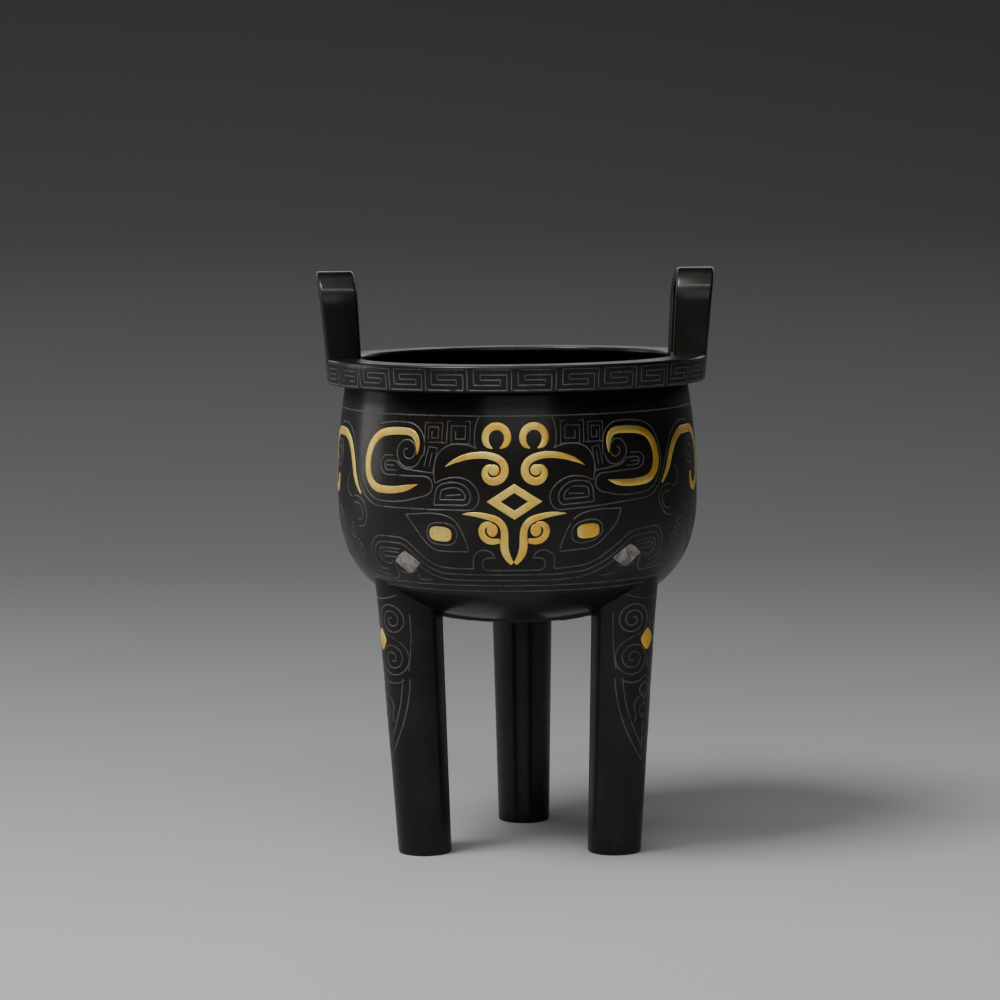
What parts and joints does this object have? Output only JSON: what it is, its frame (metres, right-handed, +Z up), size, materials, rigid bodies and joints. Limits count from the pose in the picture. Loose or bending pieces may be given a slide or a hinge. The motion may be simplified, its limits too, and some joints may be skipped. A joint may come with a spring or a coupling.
{
  "type": "bronze ding vessel",
  "caption": "Deep round bronze bowl on tapering legs, with a flat everted rim, upright loop handles and flush gold and silver inlay.",
  "frame": {"origin": "on the floor, under the middle of the bowl", "axes": "+Z up, -Y towards the front, midway between two legs, with a handle at -X and at +X"},
  "size_m": [0.087, 0.0836, 0.1267],
  "materials": {
    "bronze": "near-black brown patina, semi-gloss, worn smooth",
    "gold_inlay": "thin beaten gold sheet, burnished, flush with the bronze",
    "silver_inlay": "tarnished silver wire and sheet, flush with the bronze"
  },
  "bodies": {
    "root": {"ding_vessel": "bronze"}
  },
  "joints": []
}
